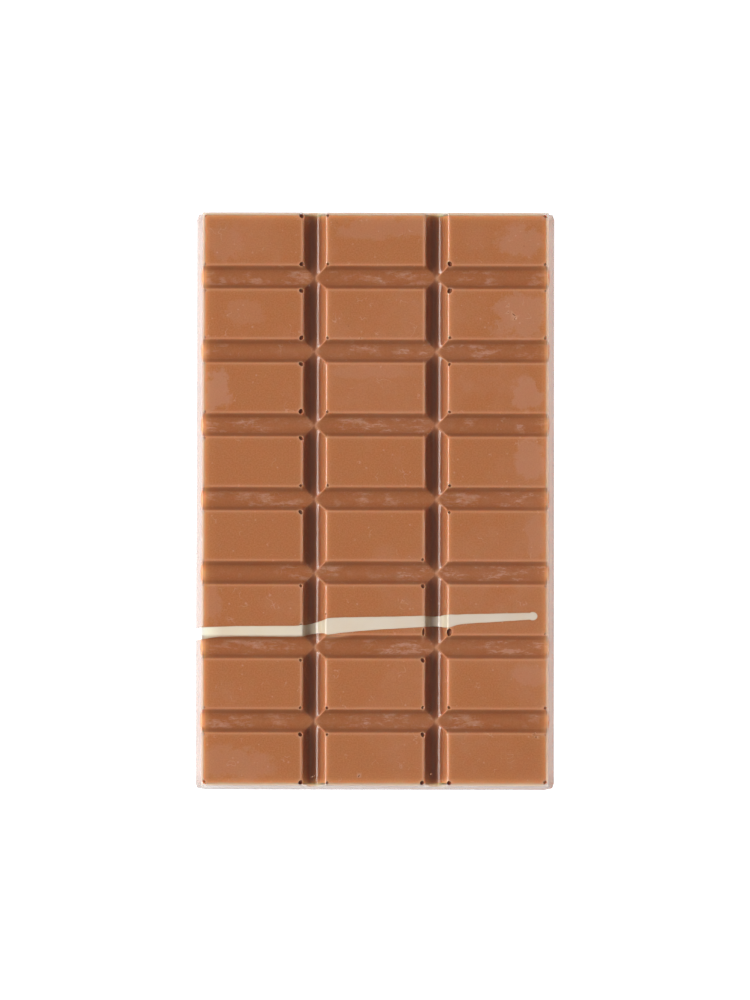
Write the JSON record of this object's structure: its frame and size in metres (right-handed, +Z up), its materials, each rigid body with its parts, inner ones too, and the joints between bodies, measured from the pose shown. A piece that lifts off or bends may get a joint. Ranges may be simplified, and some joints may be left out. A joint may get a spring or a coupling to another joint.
{
  "type": "chocolate bar",
  "caption": "Moulded milk chocolate tablet: rectangular blocks split by rounded V grooves, drafted sides, flat back and a white chocolate streak across the face.",
  "frame": {"origin": "middle of the flat back that the bar lies on", "axes": "+X across the columns of blocks, +Y along the bar's length, +Z up out of the block faces"},
  "size_m": [0.0746, 0.12, 0.0101],
  "materials": {
    "milk_chocolate": "satin moulded milk chocolate with a faint bloom and a cream white chocolate streak"
  },
  "bodies": {
    "root": {"chocolate_bar": "milk_chocolate"}
  },
  "joints": []
}
